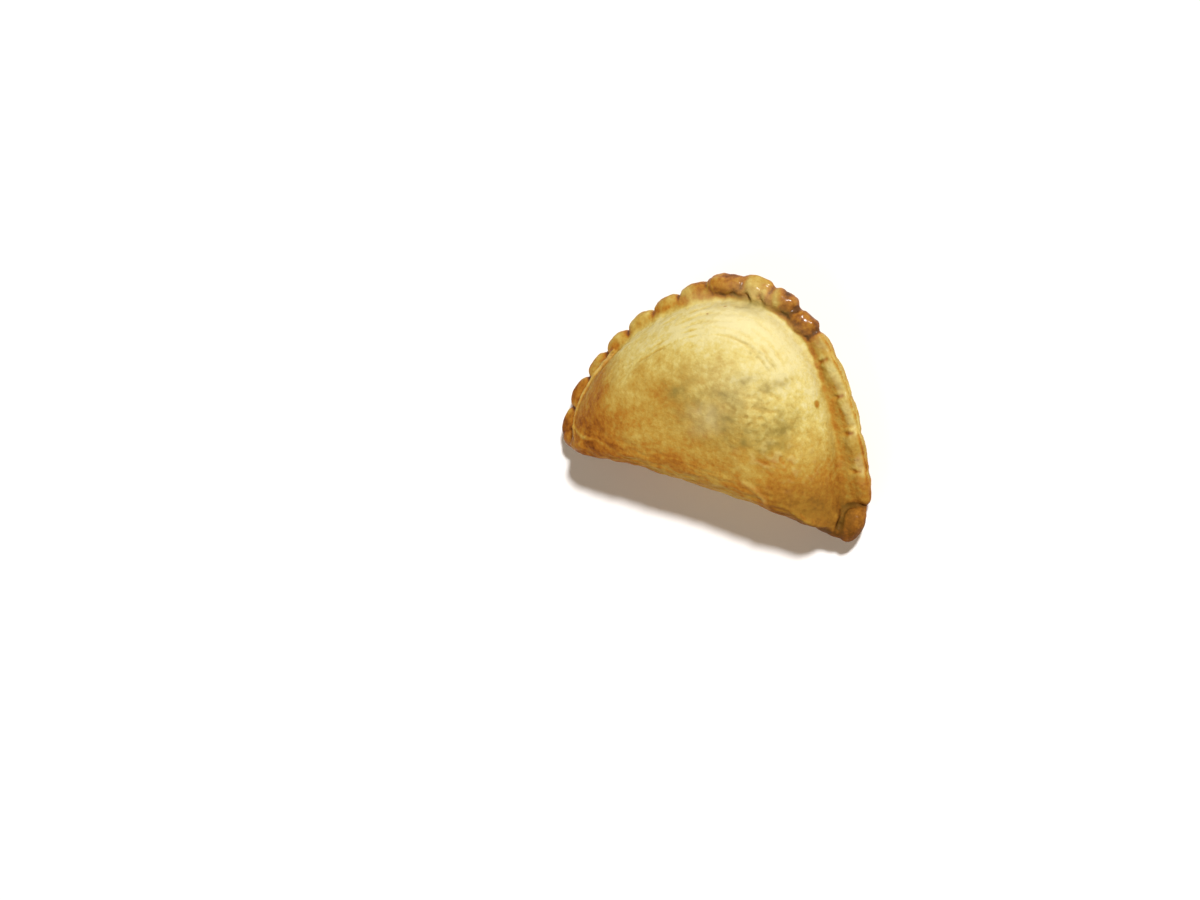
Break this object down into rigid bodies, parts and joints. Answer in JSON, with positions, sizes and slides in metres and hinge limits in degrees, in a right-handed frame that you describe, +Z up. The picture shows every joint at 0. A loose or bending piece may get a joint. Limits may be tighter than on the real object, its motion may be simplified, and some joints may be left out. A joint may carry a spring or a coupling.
{
  "type": "empanada",
  "caption": "Baked half-moon pastry turnover: a plump filled middle folded along one straight side, sealed round the other with a pleated rope edge, on a flat base.",
  "frame": {"origin": "middle of the bounding box's underside, on the flat baked base", "axes": "+X along the fold, +Y from the fold towards the pleated edge, +Z up from the baked base to the crown"},
  "size_m": [0.1174, 0.0806, 0.0383],
  "materials": {
    "crust": "golden baked pastry, satin where it is glazed"
  },
  "bodies": {
    "root": {"empanada": "crust"}
  },
  "joints": []
}
